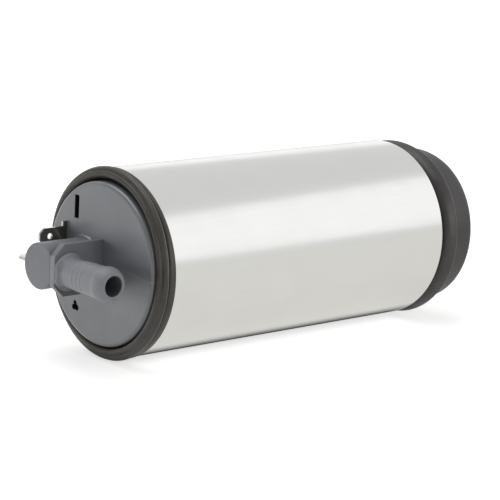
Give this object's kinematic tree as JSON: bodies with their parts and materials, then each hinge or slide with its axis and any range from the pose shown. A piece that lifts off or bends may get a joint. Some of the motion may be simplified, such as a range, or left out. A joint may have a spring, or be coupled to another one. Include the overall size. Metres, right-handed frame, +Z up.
{
  "type": "fuel pump",
  "caption": "Electric in-line fuel pump: metal sleeve with a rubber ring and boot, a side hose barb and blade terminals, and an internal-gear pump stage driven by a brushed motor.",
  "frame": {"origin": "on the pump's axis, at mid-length of the outer sleeve", "axes": "+X along the axis towards the inlet end, -Y along the hose barb towards its mouth, +Z up when the pump lies with the barb to one side"},
  "size_m": [0.144, 0.055, 0.055],
  "materials": {
    "sleeve_aluminium": "satin",
    "can_steel": "zinc plated, satin",
    "cover_plastic": "moulded, satin",
    "sleeve_rubber": "moulded, satin",
    "seal_rubber": "moulded, smooth",
    "terminal_tin": "tinned, dull",
    "valve_brass": "turned",
    "valve_plastic": "moulded",
    "spring_steel": "drawn wire",
    "ball_steel": "ground",
    "holder_plastic": "moulded",
    "bush_bronze": "sintered",
    "brush_carbon": "pressed",
    "braided_copper": "braided",
    "choke_ferrite": "sintered",
    "enamelled_copper": "enamelled",
    "magnet_ferrite": "ground",
    "clip_steel": "blue tempered",
    "shaft_steel": "ground",
    "core_steel": "stacked sheets",
    "insulator_paper": "pressed fibre",
    "hub_plastic": "moulded",
    "commutator_copper": "turned",
    "washer_plastic": "moulded",
    "stage_aluminium": "die cast and machined",
    "ring_steel": "sintered and ground",
    "screw_steel": "blackened",
    "gear_steel": "sintered",
    "coupling_plastic": "moulded",
    "strainer_plastic": "moulded",
    "mesh_nylon": "woven"
  },
  "bodies": {
    "pump_body": {"outer_sleeve": "sleeve_aluminium", "motor_can": "can_steel", "outlet_cover": "cover_plastic", "front_rubber_ring": "sleeve_rubber", "rear_rubber_boot": "sleeve_rubber", "cover_seal_ring": "seal_rubber", "inlet_seal_ring": "seal_rubber", "narrow_terminal": "terminal_tin", "wide_terminal": "terminal_tin", "check_valve_seat": "valve_brass", "relief_valve_seat": "valve_brass", "check_valve_spring": "spring_steel", "relief_valve_spring": "spring_steel", "upper_brush_spring": "spring_steel", "lower_brush_spring": "spring_steel", "brush_holder": "holder_plastic", "front_bearing_bush": "bush_bronze", "rear_bearing_bush": "bush_bronze", "upper_brush_shunt": "braided_copper", "lower_brush_shunt": "braided_copper", "choke_cores": "choke_ferrite", "choke_coils": "enamelled_copper", "upper_magnet": "magnet_ferrite", "lower_magnet": "magnet_ferrite", "magnet_clips": "clip_steel", "outlet_port_plate": "stage_aluminium", "inlet_port_plate": "stage_aluminium", "inlet_cover": "stage_aluminium", "eccentric_ring": "ring_steel", "stage_screws": "screw_steel", "strainer_frame": "strainer_plastic", "strainer_mesh": "mesh_nylon"},
    "rotor": {"rotor_shaft": "shaft_steel", "armature_core": "core_steel", "armature_insulators": "insulator_paper", "armature_windings": "enamelled_copper", "commutator_hub": "hub_plastic", "commutator_segments": "commutator_copper", "thrust_washers": "washer_plastic", "drive_coupling": "coupling_plastic", "inner_gear": "gear_steel"},
    "outer_gear": {"outer_gear": "gear_steel"},
    "upper_brush": {"upper_brush": "brush_carbon"},
    "lower_brush": {"lower_brush": "brush_carbon"},
    "check_valve": {"check_valve_poppet": "valve_plastic", "check_valve_washer": "seal_rubber"},
    "relief_valve": {"relief_valve_ball": "ball_steel"}
  },
  "joints": [
    {"name": "rotor_spin", "type": "hinge", "parent": "pump_body", "child": "rotor", "pos_m": [0, 0, 0], "axis": [1, 0, 0], "continuous": true},
    {"name": "outer_gear_spin", "type": "hinge", "parent": "pump_body", "child": "outer_gear", "pos_m": [0.0325, 0.0012, 0], "axis": [1, 0, 0], "continuous": true},
    {"name": "upper_brush_slide", "type": "slide", "parent": "pump_body", "child": "upper_brush", "axis": [-1, 0, 0], "range_m": [0, 0.003], "stiffness_N_per_m": 150, "springref_m": -0.006, "deforming": ["upper_brush_spring", "upper_brush_shunt"]},
    {"name": "lower_brush_slide", "type": "slide", "parent": "pump_body", "child": "lower_brush", "axis": [-1, 0, 0], "range_m": [0, 0.003], "stiffness_N_per_m": 150, "springref_m": -0.006, "deforming": ["lower_brush_spring", "lower_brush_shunt"]},
    {"name": "check_valve_slide", "type": "slide", "parent": "pump_body", "child": "check_valve", "axis": [-1, 0, 0], "range_m": [0, 0.002], "stiffness_N_per_m": 100, "springref_m": -0.003, "deforming": ["check_valve_spring"]},
    {"name": "relief_valve_slide", "type": "slide", "parent": "pump_body", "child": "relief_valve", "axis": [-1, 0, 0], "range_m": [0, 0.0015], "stiffness_N_per_m": 1000, "springref_m": -0.0035, "deforming": ["relief_valve_spring"]}
  ],
  "couplings": [
    {"joint": "outer_gear_spin", "follows": "rotor_spin", "ratio": 0.85714}
  ]
}
